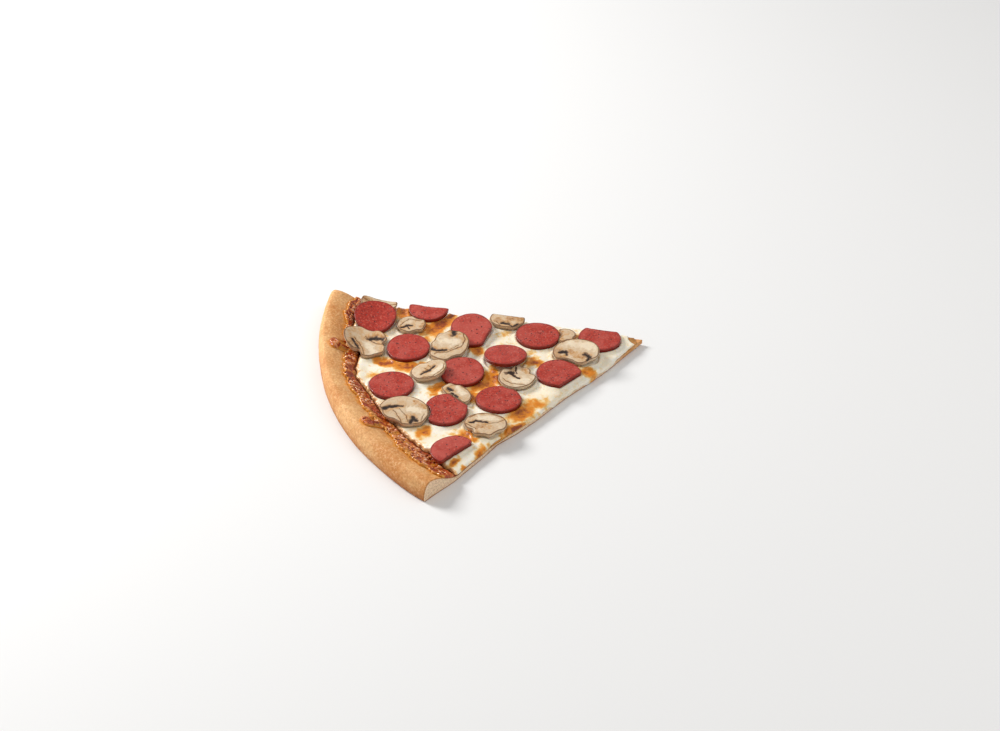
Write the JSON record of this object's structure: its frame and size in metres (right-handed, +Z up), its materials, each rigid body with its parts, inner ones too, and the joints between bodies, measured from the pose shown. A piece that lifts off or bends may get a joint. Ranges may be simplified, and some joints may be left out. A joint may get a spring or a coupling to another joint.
{
  "type": "pizza slice",
  "caption": "Slice of pizza on a thin dough with a raised browned rim, melted cheese, sausage slices and mushroom slices.",
  "frame": {"origin": "under the middle of the slice's box, on the ground that it lies on", "axes": "+X from the rim to the tip, +Z up, +Y to the cut where the rim is taller"},
  "size_m": [0.2114, 0.2168, 0.0168],
  "materials": {
    "baked_dough": "matte, golden, finely mottled",
    "baked_sauce": "glossy, crinkled, red brown",
    "melted_cheese": "soft gloss, cream with golden patches",
    "sausage": "soft gloss, brick red, finely mottled",
    "mushroom": "matte, beige with dark gills"
  },
  "bodies": {
    "root": {"dough": "baked_dough", "sauce": "baked_sauce", "cheese": "melted_cheese", "sausage_01": "sausage", "sausage_02": "sausage", "sausage_03": "sausage", "sausage_04": "sausage", "sausage_05": "sausage", "sausage_06": "sausage", "sausage_07": "sausage", "sausage_08": "sausage", "sausage_09": "sausage", "sausage_10": "sausage", "sausage_11": "sausage", "sausage_12": "sausage", "sausage_13": "sausage", "mushroom_01": "mushroom", "mushroom_02": "mushroom", "mushroom_03": "mushroom", "mushroom_04": "mushroom", "mushroom_05": "mushroom", "mushroom_06": "mushroom", "mushroom_07": "mushroom", "mushroom_08": "mushroom", "mushroom_09": "mushroom", "mushroom_10": "mushroom", "mushroom_11": "mushroom", "mushroom_12": "mushroom"}
  },
  "joints": []
}
